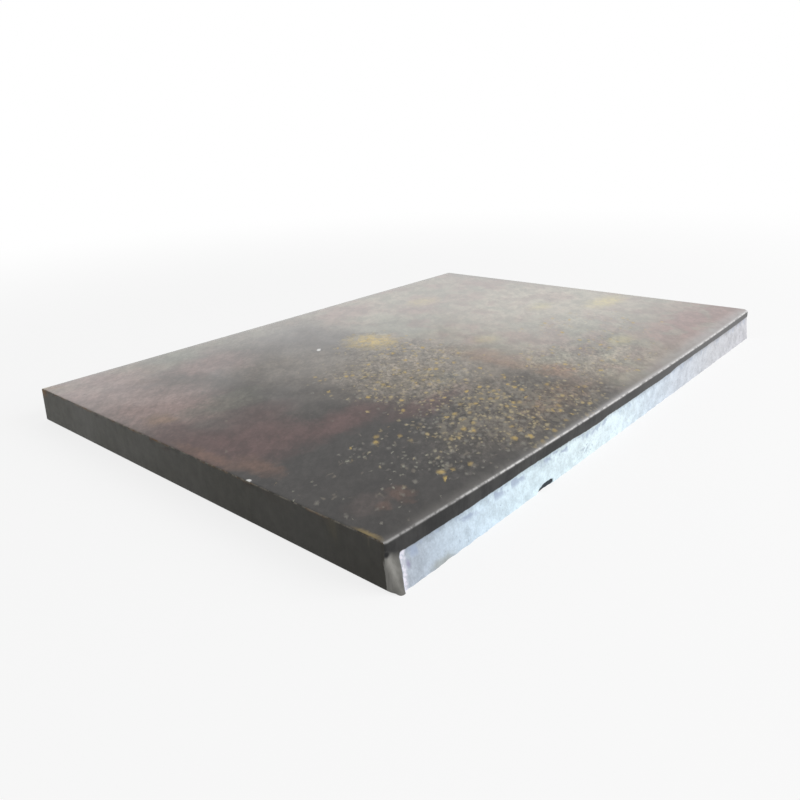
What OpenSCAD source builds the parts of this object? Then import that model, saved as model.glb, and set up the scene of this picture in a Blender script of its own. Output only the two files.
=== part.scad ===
// Steel plate, raw stock: one flat, nearly rectangular piece that lies on its broad face.
// The long front side was cut on a shear. From the top down it has a rolled edge, a smooth
// burnished land and a torn face. The other three sides are plain, with eased edges, and
// the back leans out a little towards its foot.
// Millimetres. The origin is at the middle of the footprint, on the floor.
// +X runs along the sheared side, the sheared side faces -Y, and +Z is up.

/* [Plate] */
// Length, along the sheared side
plate_l = 300; // [200:5:400]
// Width, from the foot of the back to the foot of the strip at the near corner
plate_w = 216; // [120:0.5:300]
// Thickness
plate_t = 16; // [12:0.5:25]
// How far the foot of the back stands out beyond its top edge
back_lean = 2; // [0.5:0.1:3]
// Rounding of the plain sides along the top face
top_edge_r = 0.5; // [0.3:0.1:1]
// Rounding of the plain sides along the bottom face
foot_edge_r = 1; // [0.5:0.1:1.5]

/* [Sheared side] */
// Distance from the front of the plate back to the land, at the near end
land_near = 4.5; // [3.5:0.1:6]
// Distance from the front of the plate back to the land, at the far end
land_far = 3.5; // [3:0.1:6]
// How far the middle of the land stands out beyond the line between its two ends
land_bow = 2.6; // [1:0.1:3]
// How far the rolled edge reaches in over the top face
roll_run = 3.2; // [2:0.1:5]
// Radius of the rolled edge where it leaves the top face
roll_r = 9; // [7:0.5:14]
// Radius of the rolled edge where it turns down into the land
turn_r = 0.8; // [0.4:0.1:1.2]
// Height of the burnished land below the rolled edge, at the near end
land_h_near = 4.7; // [2.5:0.1:5.5]
// Height of the burnished land below the rolled edge, at the far end
land_h_far = 3; // [2:0.1:5]
// Step from the land back to the top of the torn face
tear_step = 0.2; // [0.1:0.05:0.4]
// Distance from the front of the plate back to the torn face's foot, at the near end
foot_near = 0.7; // [0.4:0.05:1.2]
// Distance from the front of the plate back to the torn face's foot, at the far end
foot_far = 2.2; // [1:0.1:3]

/* [Near corner] */
// Width of the burnished strip at the near end, which the tear did not reach, along its top
strip_w = 5.5; // [4:0.1:8]
// Width of the strip along its foot
strip_foot_w = 2.6; // [2.4:0.1:4]
// Step from the land back to the top of the strip
strip_step = 0.05; // [0.04:0.01:0.08]
// Length of the slope from the strip down to the torn face
strip_fade = 0.6; // [0.3:0.1:1.5]
// Rounding of the strip's foot along the front
strip_r = 2.2; // [1.5:0.1:2.3]
// Rounding of the strip's foot along the near end
strip_end_r = 4.6; // [2:0.1:6]
// Rounding of the upright corner along the land and at the top face
corner_r = 1.4; // [0.5:0.1:2]

/* [Far corner] */
// Rounding of the upright corner at the far end of the sheared side
far_corner_r = 2.5; // [1:0.1:4]

/* [Chip in the foot] */
// Distance from the near end to the middle of the chip
chip_at = 79.3; // [40:0.5:160]
// Length of the chip along the foot
chip_l = 9.5; // [5:0.5:14]
// Height of the chip at its mouth
chip_h = 2.3; // [1.5:0.1:3]
// Height of the chip at its back
chip_back_h = 0.9; // [0.4:0.1:1.2]
// Depth of the chip, from the foot into the plate
chip_d = 2.5; // [1:0.1:4]

/* [Hidden] */
steel_grey = [0.33, 0.32, 0.31];
// Facets of a small round, and steps along the sheared side and round its edges
round_fn = 64;
side_steps = 32;
turn_steps = 5;
roll_steps = 6;
ease_steps = 4;
corner_steps = 8;
// How far a cutting shape reaches past what it cuts
past = 1;
// Height above the land's lower edge at which the strip's rounding ends
fade_rise = 0.2;
// A gap that keeps two faces from lying on each other
slack = 0.02;

near_x = -plate_l / 2;
far_x = plate_l / 2;
front_y = -plate_w / 2;
back_y = plate_w / 2;

// The bow of the land is one long arc over the line between its two ends
bow_r = (plate_l * plate_l / 4 + land_bow * land_bow) / (2 * land_bow);

// The rolled edge: a gentle round from the top face, then a tight one into the land
roll_z = plate_t - roll_r;
turn_z = roll_z + sqrt(pow(roll_r - turn_r, 2) - pow(roll_run - turn_r, 2));
turn_a = acos((roll_run - turn_r) / (roll_r - turn_r));

// The back leans, so its two edges turn by a little more and a little less than a right angle.
// The rounding of its foot takes off the furthest point, so the face lies that much further out.
back_a = atan(back_lean / plate_t);
back_out = foot_edge_r * (back_lean / plate_t + 1 / cos(back_a) - cos(back_a));
function back_face(z) = back_y + back_out - back_lean * z / plate_t;
function back_round(r, z, from, to) = [
    for (i = [0 : ease_steps])
        let (a = from + (to - from) * i / ease_steps)
            [back_face(z) - r / cos(back_a) + r * cos(a), z + r * sin(a)]
];
back_points = concat(
    back_round(top_edge_r, plate_t - top_edge_r, 90, back_a),
    back_round(foot_edge_r, foot_edge_r, back_a, -90)
);

// Where the land, the torn face and the strip stand at a place along the side
function along(x, near, far) = near + (far - near) * (x - near_x) / plate_l;
function bow(x) = sqrt(bow_r * bow_r - x * x) - bow_r + land_bow;
function land_y(x) = front_y + along(x, land_near, land_far) - bow(x);
function land_z(x) = turn_z - along(x, land_h_near, land_h_far);
function foot_y(x) = front_y + along(x, foot_near, foot_far);
function lean(foot, head, x, z) = foot + (head - foot) * z / land_z(x);

// Section of the plate from the back over the foot to the top face. The foot of the sheared
// side may lie further along than the rest.
function plate_section(x, foot_x, foot, step) = concat(
    [for (p = back_points) [x, p[0], p[1]]],
    [[foot_x, foot, 0], [x, land_y(x) + step, land_z(x)], [x, land_y(x), land_z(x)]],
    [
        for (i = [0 : turn_steps])
            let (a = turn_a * i / turn_steps)
                [x, land_y(x) + turn_r * (1 - cos(a)), turn_z + turn_r * sin(a)]
    ],
    [
        for (i = [1 : roll_steps])
            let (a = turn_a + (90 - turn_a) * i / roll_steps)
                [x, land_y(x) + roll_run - roll_r * cos(a), roll_z + roll_r * sin(a)]
    ]
);
function torn_section(x, foot_x) = plate_section(x, foot_x, foot_y(foot_x), tear_step);
function strip_section(x, foot_x) = plate_section(x, foot_x, front_y, strip_step);
function tear_x(width, i) =
    near_x + width + strip_fade + (plate_l - width - strip_fade) * i / side_steps;

// The skin round a row of outlines that all have the same number of points
function ring_faces(rings, size) = [
    for (k = [0 : rings - 2])
        for (i = [0 : size - 1])
            let (j = (i + 1) % size)
                for (half = [0, 1])
                    half == 0
                        ? [k * size + i, k * size + j, (k + 1) * size + j]
                        : [k * size + i, (k + 1) * size + j, (k + 1) * size + i]
];
function end_faces(rings, size) = [
    [for (i = [0 : size - 1]) (size - i) % size],
    [for (i = [0 : size - 1]) (rings - 1) * size + i]
];

// Outline of what is taken off an upright corner at one height, outer corner first:
// its reach along the front, its reach along the end, and where the front stands
function corner_outline(z, front_r, end_r, y) = concat(
    [[near_x - 2 * past, y - 2 * past, z], [near_x - 2 * past, y - slack + end_r, z]],
    [
        for (i = [0 : corner_steps])
            let (a = 180 + 90 * i / corner_steps)
                [near_x - slack + front_r + front_r * cos(a), y - slack + end_r + end_r * sin(a), z]
    ],
    [[near_x - slack + front_r, y - 2 * past, z]]
);

// The chip is the mouth of a short cone that lies across the foot
chip_x = near_x + chip_at;
chip_r = (chip_l * chip_l / 4 + chip_h * chip_h) / (2 * chip_h);
chip_slope = (chip_h - chip_back_h) / chip_d;
chip_mouth = foot_y(chip_x) - front_y + past;

module round_waste(r) {
    difference() {
        square(r + past);
        circle(r, $fn = round_fn);
    }
}

module skin(outlines) {
    size = len(outlines[0]);
    polyhedron(
        points = [for (outline = outlines) each outline],
        faces = concat(ring_faces(len(outlines), size), end_faces(len(outlines), size)),
        convexity = 4
    );
}

module end_edge_waste(r) {
    rotate([0, 0, -90])
        translate([-plate_w, 0, 0])
            rotate([90, 0, 90])
                linear_extrude(2 * plate_w)
                    round_waste(r);
}

module end_waste() {
    for (side = [0, 1])
        mirror([side, 0, 0]) {
            translate([far_x - top_edge_r, 0, plate_t - top_edge_r])
                end_edge_waste(top_edge_r);
            translate([far_x - foot_edge_r, 0, foot_edge_r])
                mirror([0, 0, 1])
                    end_edge_waste(foot_edge_r);
        }
}

module near_corner_waste() {
    low_y = lean(front_y, land_y(near_x) + strip_step, near_x, -past);
    skin([
        corner_outline(-past, strip_r, strip_end_r, low_y),
        corner_outline(land_z(near_x) + fade_rise, corner_r, corner_r, land_y(near_x)),
        corner_outline(plate_t + past, corner_r, corner_r, land_y(near_x))
    ]);
}

module far_corner_waste() {
    low_y = lean(foot_y(far_x), land_y(far_x) + tear_step, far_x, -past);
    mirror([1, 0, 0])
        skin([
            corner_outline(-past, far_corner_r, far_corner_r, low_y),
            corner_outline(land_z(far_x) + fade_rise, far_corner_r, far_corner_r, land_y(far_x)),
            corner_outline(plate_t + past, far_corner_r, far_corner_r, land_y(far_x))
        ]);
}

module chip() {
    translate([chip_x, front_y - past, chip_h - chip_r])
        rotate([-90, 0, 0])
            cylinder(
                h = chip_mouth + chip_d,
                r1 = chip_r + chip_slope * chip_mouth,
                r2 = chip_r - chip_slope * chip_d,
                $fn = round_fn
            );
}

module plate() {
    color(steel_grey)
        difference() {
            skin(concat(
                [
                    strip_section(near_x, near_x),
                    strip_section(near_x + strip_w, near_x + strip_foot_w)
                ],
                [for (i = [0 : side_steps]) torn_section(tear_x(strip_w, i), tear_x(strip_foot_w, i))]
            ));
            end_waste();
            near_corner_waste();
            far_corner_waste();
            chip();
        }
}

plate();
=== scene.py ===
import bpy
import bmesh
import math
from mathutils import Matrix, Vector, noise


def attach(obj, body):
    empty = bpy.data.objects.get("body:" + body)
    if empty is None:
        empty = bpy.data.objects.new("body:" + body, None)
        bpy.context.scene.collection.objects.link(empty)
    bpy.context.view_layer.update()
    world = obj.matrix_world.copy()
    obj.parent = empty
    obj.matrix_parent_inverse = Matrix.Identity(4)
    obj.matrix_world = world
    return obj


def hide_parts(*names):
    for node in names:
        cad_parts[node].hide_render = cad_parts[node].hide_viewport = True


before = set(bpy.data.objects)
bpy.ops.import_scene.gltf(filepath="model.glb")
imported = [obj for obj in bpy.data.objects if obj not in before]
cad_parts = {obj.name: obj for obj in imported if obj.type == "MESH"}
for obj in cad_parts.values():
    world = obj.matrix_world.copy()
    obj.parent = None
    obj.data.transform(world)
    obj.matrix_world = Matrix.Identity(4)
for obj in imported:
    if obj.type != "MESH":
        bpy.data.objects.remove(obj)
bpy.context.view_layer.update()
print("frame loaded", sorted(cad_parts))

mm = 0.001
touch = 1e-3    # millimetres within which a point lies on a side
snap = 1e-4     # and within which a cut meets one

# plate sizes in millimetres, the same as in the solid
plate = {
    "length": 300.0,
    "width": 216.0,
    "thick": 16.0,
    "backLean": 2.0,
    "topEase": 0.5,
    "footEase": 1.0,
    "follow": 60.0,        # how far in from a side the grid follows its shape
}

# the sheared side, from the rolled edge down to the foot
shear = {
    "landNear": 4.5,
    "landFar": 3.5,
    "bow": 2.6,
    "rollRun": 3.2,
    "rollR": 9.0,
    "turnR": 0.8,
    "landTallNear": 4.7,
    "landTallFar": 3.0,
    "tearStep": 0.2,
    "footNear": 0.7,
    "footFar": 2.2,
    # lower edge of the land: a hump (rise, place, reach), steps (rise, from, to)
    # and two waves (height, length)
    "landHump": (0.75, -72, 26),
    "landSteps": [(0.45, -29, -24), (0.75, 36, 43), (-0.5, 80, 130)],
    "landWave": (0.22, 15),
    "landRipple": (0.13, 4.5),
    "landPlain": (3, 14),  # from the near end, where all of these start and are full
}

# relief of the torn face: depth, then the size of its waves along the side and up it
tear = {
    "land": (0.04, 14, 5),
    "coarse": (0.22, 4.6, 2.8),
    "fine": (0.12, 1.4, 1.0),
    "row": (0.22, 2.8, 2.2),     # a row of dents under the land
    "rowAt": (1.7, 1.0),
    "pits": (0.45, 1.9, 1.7),    # a pitted place
    "pitsAlong": (-43, 9),
    "pitsUp": (3.4, 2.4),
    "foot": (0.22, 2.4, 1.6),    # ragged foot: depth, size and height
    "lip": 0.5,                  # height over which the tear leaves the land
    "strip": (0.05, 3, 4),
}

# upright strip and round at the near corner, and the round at the far one
strip = {
    "width": 6.0,
    "footWidth": 2.6,
    "step": 0.05,
    "fade": 0.6,
    "footR": 2.2,
    "footEndR": 4.6,
    "cornerR": 1.4,
    "farR": 2.5,
    "nearSpan": 6.0,       # length of the side in which a corner is rounded
    "farSpan": 4.0,
    "ease": 1.8,           # how gently the strip leaves the land
    "ragged": 0.5,         # wander of its right edge
    "wrap": 0.6,           # how much less it reaches round on to the end at the top
    "pitAt": (-149.1, -103.2, 11.6),
    "pitDeep": 0.3,
    "pitReach": 0.9,
}

# chip in the foot of the torn face; its outline is in shares of the height
chip = {
    "at": 79.0,
    "length": 10.6,
    "height": 2.4,
    "depth": 0.5,
    "arch": 0.42,
    "middle": 0.34,
    "tilt": 0.26,
    "lift": 0.28,
    "ragged": 0.25,
}

# dents of the plain end that faces the viewer: depth, then size along the end and up it
nearEnd = {
    "level": 0.05,
    "swell": (0.05, 9, 6),
    "nick": (0.55, 3.4),         # nicks in the top edge
    "nickTall": (2.0, 0.2),
    "ripple": (0.22, 2.2),       # ripple along the foot
    "rippleTall": 2.5,
}

nearX = -plate["length"] / 2
farX = plate["length"] / 2
frontY = -plate["width"] / 2
backY = plate["width"] / 2
topZ = plate["thick"]
bowR = (plate["length"] ** 2 / 4 + shear["bow"] ** 2) / (2 * shear["bow"])
rollZ = topZ - shear["rollR"]
rollGap = shear["rollR"] - shear["turnR"]
rollLead = shear["rollRun"] - shear["turnR"]
turnZ = rollZ + math.sqrt(rollGap ** 2 - rollLead ** 2)
turnA = math.acos(rollLead / rollGap)
gentleLen = (math.pi / 2 - turnA) * shear["rollR"]
tightLen = turnA * shear["turnR"]
rollSpan = shear["rollRun"] + topZ - turnZ


def clamp01(v):
    return max(0.0, min(1.0, v))


def smooth(a, b, v):
    t = clamp01((v - a) / (b - a))
    return t * t * (3 - 2 * t)


def hump(v, middle, reach):
    return math.exp(-((v - middle) / reach) ** 2)


def wander(x, y, z=0.0):
    return noise.noise(Vector((x, y, z)))


def relief(name, x, z, seed):
    depth, wide, tall = tear[name]
    return depth * wander(x / wide, z / tall, seed)


def along(x, near, far):
    return near + (far - near) * (x - nearX) / plate["length"]


def landY(x):
    out = math.sqrt(bowR * bowR - x * x) - bowR + shear["bow"]
    return frontY + along(x, shear["landNear"], shear["landFar"]) - out


def landZ(x):
    return turnZ - along(x, shear["landTallNear"], shear["landTallFar"])


def footY(x):
    return frontY + along(x, shear["footNear"], shear["footFar"])


# lower edge of the burnished land, which gets thinner in two steps towards the far end
def landEdge(x):
    rise, place, reach = shear["landHump"]
    z = rise * hump(x, place, reach)
    for rise, start, end in shear["landSteps"]:
        z += rise * smooth(start, end, x)
    for name, seed in (("landWave", 3.1), ("landRipple", 8.4)):
        high, size = shear[name]
        z += high * wander(x / size, seed)
    start, end = shear["landPlain"]
    return landZ(x) + z * smooth(nearX + start, nearX + end, x)


# distance in from the land and height on the rolled edge, share 0 at the top face and 1 at the land
def rolledPoint(share):
    run = share * (gentleLen + tightLen)
    if run < gentleLen:
        a, r = math.pi / 2 - run / shear["rollR"], shear["rollR"]
        return shear["rollRun"] - r * math.cos(a), rollZ + r * math.sin(a)
    a, r = turnA - (run - gentleLen) / shear["turnR"], shear["turnR"]
    return r * (1 - math.cos(a)), turnZ + r * math.sin(a)


def chipMask(x, z):
    u = (x - nearX - chip["at"]) / (chip["length"] / 2)
    if abs(u) >= 1.1:
        return 0.0
    arch = chip["arch"] * max(0.0, 1 - u * u)
    upper = chip["height"] * (arch + chip["middle"] + chip["tilt"] * u)
    upper += chip["ragged"] * wander(x / 1.6, z / 1.1, 4.4)
    lower = chip["height"] * chip["lift"] * max(0.0, u)
    mask = smooth(upper + 0.12, upper - 0.3, z) * smooth(lower - 0.3, lower, z + 0.3)
    return mask * smooth(1.1, 0.95, abs(u))


# millimetres from the strip's ragged right edge, positive inside the strip
def stripReach(x, z):
    t = z / landZ(nearX)
    edge = nearX + strip["footWidth"] + (strip["width"] - strip["footWidth"]) * t
    return edge + strip["ragged"] * wander(z / 2.0, 5.7) - x


def stripY(x, z):
    full = landZ(nearX)
    below, ease = max(0.0, full - z), strip["ease"]
    soft = below * below / (2 * ease) if below < ease else below - ease / 2
    head = landY(x) + strip["step"]
    return head + (frontY - head) * soft / (full - ease / 2)


# y of the sheared side below the rolled edge
def sideY(x, z):
    edge = landEdge(x)
    land = landY(x) + relief("land", x, z, 2.2)
    if z >= edge:
        return land
    below = edge - z
    torn = footY(x) + (landY(x) + shear["tearStep"] - footY(x)) * z / edge
    torn += relief("coarse", x, z, 1.3) + relief("fine", x, z, 6.1)
    depth, wide, tall = tear["row"]
    dents = smooth(0.05, 0.45, wander(x / wide, below / tall, 9.2))
    torn += depth * dents * hump(below, *tear["rowAt"])
    depth, wide, tall = tear["pits"]
    dents = smooth(0.1, 0.5, wander(x / wide, z / tall, 2.9))
    torn += depth * dents * hump(x, *tear["pitsAlong"]) * hump(z, *tear["pitsUp"])
    depth, wide, tall = tear["foot"]
    torn += depth * wander(x / wide, 0.5, 7.7) * smooth(tall, 0.0, z)
    torn = land + (torn - land) * smooth(0.0, tear["lip"], below)
    keep = smooth(-strip["fade"], 0.0, stripReach(x, z))
    y = torn + (stripY(x, z) + relief("strip", x, z, 3.3) - torn) * keep
    return max(frontY, y + chip["depth"] * chipMask(x, z))


def frontAt(x, z):
    return landY(x) if z > landEdge(x) else sideY(x, z)


def endDent(y, z):
    depth, wide, tall = nearEnd["swell"]
    dent = nearEnd["level"] + depth * wander(y / wide, z / tall, 1.1)
    depth, wide = nearEnd["nick"]
    nick = smooth(0.38, 0.7, wander(y / wide, 0.3, 12.5))
    dent += depth * nick * smooth(*nearEnd["nickTall"], topZ - z)
    depth, wide = nearEnd["ripple"]
    return dent + depth * wander(y / wide, z / wide, 7.1) * smooth(nearEnd["rippleTall"], 0.0, z)


# reach of a corner's rounding along the front and along the end, and where the front stands there
def nearCorner(z):
    t = clamp01(z / landZ(nearX))
    face = stripY(nearX, z) if t < 1 else landY(nearX)
    r, rx, ry = strip["cornerR"], strip["footR"], strip["footEndR"]
    return rx + (r - rx) * t, ry + (r - ry) * t, face


def farCorner(z):
    t = clamp01(z / landZ(farX))
    face = footY(farX) + (landY(farX) - footY(farX)) * t
    return strip["farR"], strip["farR"], face


# carries a square corner over into a round one, in plan
def roundCorner(dx, dy, rx, ry):
    u, v = 1 - dx / rx, 1 - dy / ry
    if u <= 0 or v <= 0:
        return dx, dy
    big = max(u, v)
    turn = math.pi / 4 * v / u if u >= v else math.pi / 2 - math.pi / 4 * u / v
    return rx * (1 - big * math.cos(turn)), ry * (1 - big * math.sin(turn))


def spread(a, b, pitchA, pitchB):
    out, v = [], a
    while v < b - 0.6 * pitchB:
        out.append(v)
        v += pitchA + (pitchB - pitchA) * (v - a) / (b - a)
    return out


def cutAcross(bm, axis, places):
    normal = Vector([1.0 if i == axis else 0.0 for i in range(3)])
    for place in places:
        geom = bm.verts[:] + bm.edges[:] + bm.faces[:]
        bmesh.ops.bisect_plane(bm, geom=geom, dist=snap, plane_co=normal * place, plane_no=normal)


def easeEdges(bm, height, size):
    def wanted(e):
        level = all(abs(v.co.z - height) < snap for v in e.verts)
        return level and not all(abs(v.co.y - frontY) < snap for v in e.verts)
    edges = [e for e in bm.edges if wanted(e)]
    bmesh.ops.bevel(bm, geom=edges, offset=size, offset_type="OFFSET", segments=3, profile=0.5,
                    affect="EDGES", material=-1, clamp_overlap=True)


def splitFaces(bm, faces, cuts):
    wanted = set(faces)
    edges = [e for e in bm.edges if any(f in wanted for f in e.link_faces)]
    bmesh.ops.subdivide_edges(bm, edges=edges, cuts=cuts, use_grid_fill=True)
    bm.normal_update()


# cuts of the grid, in millimetres in from the side they are named for; a spread is given by
# its distances from the first side and the last, and by its first and last pitch
grid = {
    "up": [1.0 * i for i in range(1, 16)] + [15.35, 15.7],
    "front": (0.35, 0.7, 1.1, 1.6, 2.2, 3.2, 4.5, 6.5, 9.5),
    "across": (13.0, 1.0, 3.6, 3.8),
    "near": (0.5, 1.2, 2.2, 3.2),
    "along": (4.5, 3.5, 1.5, 2.4),
    "far": (2.4, 1.6, 0.9),
    "shearCuts": 3,
    "endCuts": 1,
}
zones = {"top": 0, "sheared": 1, "end": 2}    # in the order of the materials


def buildPlate():
    bm = bmesh.new()
    bmesh.ops.create_cube(bm, size=1.0)
    size = (plate["length"], plate["width"], plate["thick"])
    bmesh.ops.scale(bm, vec=size, verts=bm.verts)
    bmesh.ops.translate(bm, vec=(0, 0, topZ / 2), verts=bm.verts)
    easeEdges(bm, topZ, plate["topEase"])
    easeEdges(bm, 0.0, plate["footEase"])

    # a grid that is finest along the rolled edge and at the near corner
    cutAcross(bm, 2, grid["up"])
    start, end, small, large = grid["across"]
    rows = [frontY + v for v in grid["front"]]
    cutAcross(bm, 1, rows + spread(frontY + start, backY - end, small, large))
    start, end, small, large = grid["along"]
    columns = [nearX + v for v in grid["near"]]
    cutAcross(bm, 0, columns + spread(nearX + start, farX - end, small, large))
    cutAcross(bm, 0, [farX - v for v in grid["far"]])

    zone = bm.faces.layers.int.new("zone")
    bm.normal_update()
    front = [f for f in bm.faces if f.normal.y < -0.9]
    foot = [f for f in bm.faces if f.normal.z < -0.99]
    bmesh.ops.dissolve_faces(bm, faces=foot, use_verts=False)
    splitFaces(bm, front, grid["shearCuts"])
    splitFaces(bm, [f for f in bm.faces if f.normal.x < -0.9], grid["endCuts"])
    for f in bm.faces:
        n = f.normal
        plain = abs(n.x) > 0.5 or n.y > 0.5
        f[zone] = zones["sheared" if n.y < -0.9 else "end" if plain else "top"]
    print("plate grid", len(bm.faces))
    shapePlate(bm, zone)
    return bm


# moves a point of the grid to its place, and tells how far it lies below the land, how far
# round the rolled edge, how far inside the strip and how deep in the chip
def placePoint(v):
    x, y, z = v.co
    inset = y - frontY
    onFront = inset < touch
    rolled = 0.0
    if onFront and z > turnZ:
        rolled = (shear["rollRun"] + topZ - z) / rollSpan
        back, z = rolledPoint(rolled)
        y = landY(x) + back
    elif onFront:
        rolled = 1.0
        y = sideY(x, z)
    elif inset < shear["rollRun"]:
        share = (shear["rollRun"] - inset) / rollSpan
        back, high = rolledPoint(share)
        lift = z / topZ
        z = z * high / topZ
        rolled = share * smooth(0.9, 1.0, lift)
        low = frontAt(x, z) + inset
        y = low + (landY(x) + back - low) * smooth(0.8, 1.0, lift)
    else:
        toFront = clamp01(1 - (inset - shear["rollRun"]) / plate["follow"])
        toBack = clamp01(1 - (backY - y) / plate["follow"])
        y += toFront * (frontAt(x, z) - frontY)
        y += toBack * plate["backLean"] * (plate["footEase"] - z) / topZ
    if x < nearX + touch and not onFront:
        x += endDent(y, z) * smooth(0.0, 6.0, inset)

    below = landEdge(x) - z
    reach = stripReach(x, z)
    hollowShade = chipMask(x, z) if onFront else 0.0
    if x < nearX + strip["nearSpan"]:
        rx, ry, face = nearCorner(z)
        dx, dy = roundCorner(x - nearX, y - face, rx, ry)
        if not onFront:
            reach = ry * (1 - strip["wrap"] * clamp01(z / landZ(nearX))) - (y - face)
        x, y = nearX + dx, face + dy
    elif x > farX - strip["farSpan"]:
        rx, ry, face = farCorner(z)
        dx, dy = roundCorner(farX - x, y - face, rx, ry)
        x, y = farX - dx, face + dy
    place = Vector((x, y, z))
    fromPit = (place - Vector(strip["pitAt"])).length
    dent = strip["pitDeep"] * hump(fromPit, 0, strip["pitReach"])
    v.co = place + Vector((dent, dent, 0))
    return below, rolled, reach, hollowShade


# wear and painted highlight round the rolled edge: where the highlight is brightest, and how far
# the pale band of painted sheen goes
edgeWearAndShine = {"ridgeAt": 0.80, "ridgeReach": 0.10, "wornAt": 0.72, "wornUp": 0.34, "wornDown": 0.12}


def shapePlate(bm, zone):
    names = ("drop", "ridgeShine", "wornAndShine", "burnish", "chipShade")
    layers = [bm.loops.layers.float.new(name) for name in names]
    bm.verts.index_update()
    marks = {v.index: placePoint(v) for v in bm.verts}
    for f in bm.faces:
        f.material_index = f[zone]
        f.smooth = True
        for loop in f.loops:
            below, rolled, reach, hollowShade = marks[loop.vert.index]
            wornReach = edgeWearAndShine["wornUp" if rolled < edgeWearAndShine["wornAt"] else "wornDown"]
            values = (
                max(-6.0, min(14.0, below)),
                hump(rolled, edgeWearAndShine["ridgeAt"], edgeWearAndShine["ridgeReach"]),
                hump(rolled, edgeWearAndShine["wornAt"], wornReach),
                max(-6.0, min(6.0, reach)),
                hollowShade,
            )
            for layer, value in zip(layers, values):
                loop[layer] = value
    bmesh.ops.recalc_face_normals(bm, faces=bm.faces)
    bmesh.ops.scale(bm, vec=(mm, mm, mm), verts=bm.verts)


def addNode(tree, kind, props=None, vals=None, links=None):
    node = tree.nodes.new(kind)
    for name, value in (props or {}).items():
        setattr(node, name, value)
    for name, value in (vals or {}).items():
        node.inputs[name].default_value = value
    for name, source in (links or {}).items():
        tree.links.new(source, node.inputs[name])
    return node


# sets a socket to a number or a colour, or links it
def plug(tree, socket, part):
    if isinstance(part, (int, float)):
        socket.default_value = part
    elif isinstance(part, tuple):
        socket.default_value = (*part, 1.0)
    else:
        tree.links.new(part, socket)


def mathNode(tree, op, a, b):
    node = addNode(tree, "ShaderNodeMath", {"operation": op})
    plug(tree, node.inputs[0], a)
    plug(tree, node.inputs[1], b)
    return node.outputs[0]


def times(tree, a, b):
    return mathNode(tree, "MULTIPLY", a, b)


def plus(tree, a, b):
    return mathNode(tree, "ADD", a, b)


def less(tree, a, b):
    return mathNode(tree, "SUBTRACT", a, b)


def larger(tree, a, b):
    return mathNode(tree, "MAXIMUM", a, b)


# a noise turned into a push to either side
def sway(tree, fac, amount):
    return times(tree, less(tree, fac, 0.5), amount)


def noiseFac(tree, vector, size, detail=3.0, rough=0.5, twist=0.0):
    node = addNode(tree, "ShaderNodeTexNoise", vals={
        "Detail": detail, "Roughness": rough, "Distortion": twist}, links={"Vector": vector})
    fixed = isinstance(size, (int, float))
    plug(tree, node.inputs["Scale"], 1 / size if fixed else mathNode(tree, "DIVIDE", 1.0, size))
    return node.outputs["Fac"]


def ramp(tree, value, low, high, outLow=0.0, outHigh=1.0, kind="SMOOTHSTEP"):
    node = addNode(tree, "ShaderNodeMapRange", {"interpolation_type": kind}, links={"Value": value})
    names = ("From Min", "From Max", "To Min", "To Max")
    for name, part in zip(names, (low, high, outLow, outHigh)):
        plug(tree, node.inputs[name], part)
    return node.outputs["Result"]


def mixColour(tree, factor, a, b, blend="MIX"):
    node = addNode(tree, "ShaderNodeMix", {"data_type": "RGBA", "blend_type": blend})
    for socket, part in zip((0, 6, 7), (factor, a, b)):
        plug(tree, node.inputs[socket], part)
    return node.outputs[2]


def mixValue(tree, factor, a, b):
    node = addNode(tree, "ShaderNodeMix", {"data_type": "FLOAT"})
    for socket, part in zip((0, 2, 3), (factor, a, b)):
        plug(tree, node.inputs[socket], part)
    return node.outputs[0]


def layOver(tree, tint, mask, strength, colour):
    return mixColour(tree, times(tree, mask, strength), tint, colour)


def shade(tree, colour, value, low, high, dark, light):
    tone = ramp(tree, value, low, high, dark, light)
    grey = addNode(tree, "ShaderNodeCombineColor", links={"Red": tone, "Green": tone, "Blue": tone})
    return mixColour(tree, 1.0, colour, grey.outputs["Color"], "MULTIPLY")


def axes(tree, vector):
    return addNode(tree, "ShaderNodeSeparateXYZ", links={"Vector": vector}).outputs


def lengthOf(tree, vector):
    node = addNode(tree, "ShaderNodeVectorMath", {"operation": "LENGTH"}, links={0: vector})
    return node.outputs["Value"]


def shifted(tree, vector, place=(0, 0, 0), size=(1, 1, 1), turn=(0, 0, 0)):
    node = addNode(tree, "ShaderNodeMapping", vals={
        "Location": place, "Scale": size, "Rotation": turn}, links={"Vector": vector})
    return node.outputs["Vector"]


# coordinates pushed about by a noise, so that a patch gets a broken outline
def warped(tree, vector, size, amount):
    push = addNode(tree, "ShaderNodeTexNoise", vals={
        "Scale": 1 / size, "Detail": 5.0, "Roughness": 0.6}, links={"Vector": vector})
    level = addNode(tree, "ShaderNodeVectorMath", {"operation": "SUBTRACT"}, {
        1: (0.5, 0.5, 0.5)}, {0: push.outputs["Color"]})
    moved = addNode(tree, "ShaderNodeVectorMath", {"operation": "MULTIPLY_ADD"}, {
        1: (amount, amount, amount)}, {0: level.outputs[0], 2: vector})
    return moved.outputs[0]


# pattern drawn out along the way the plate was rolled
def drawnOut(tree, vector, share):
    turned = shifted(tree, vector, turn=(0, 0, math.radians(-40)))
    return shifted(tree, turned, size=(share, 1, 1))


# soft patch round a place on the face, with its reach along both axes
def patchAt(tree, vector, place, reach, inner=0.25):
    scaled = addNode(tree, "ShaderNodeVectorMath", {"operation": "MULTIPLY_ADD"}, {
        1: (1 / reach[0], 1 / reach[1], 0),
        2: (-place[0] / reach[0], -place[1] / reach[1], 0)}, {0: vector})
    return ramp(tree, lengthOf(tree, scaled.outputs[0]), inner, 1.0, 1.0, 0.0)


def layPatches(tree, tint, vector, places, colour, inner=0.25):
    for place, reach, strength in places:
        tint = layOver(tree, tint, patchAt(tree, vector, place, reach, inner), strength, colour)
    return tint


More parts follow.
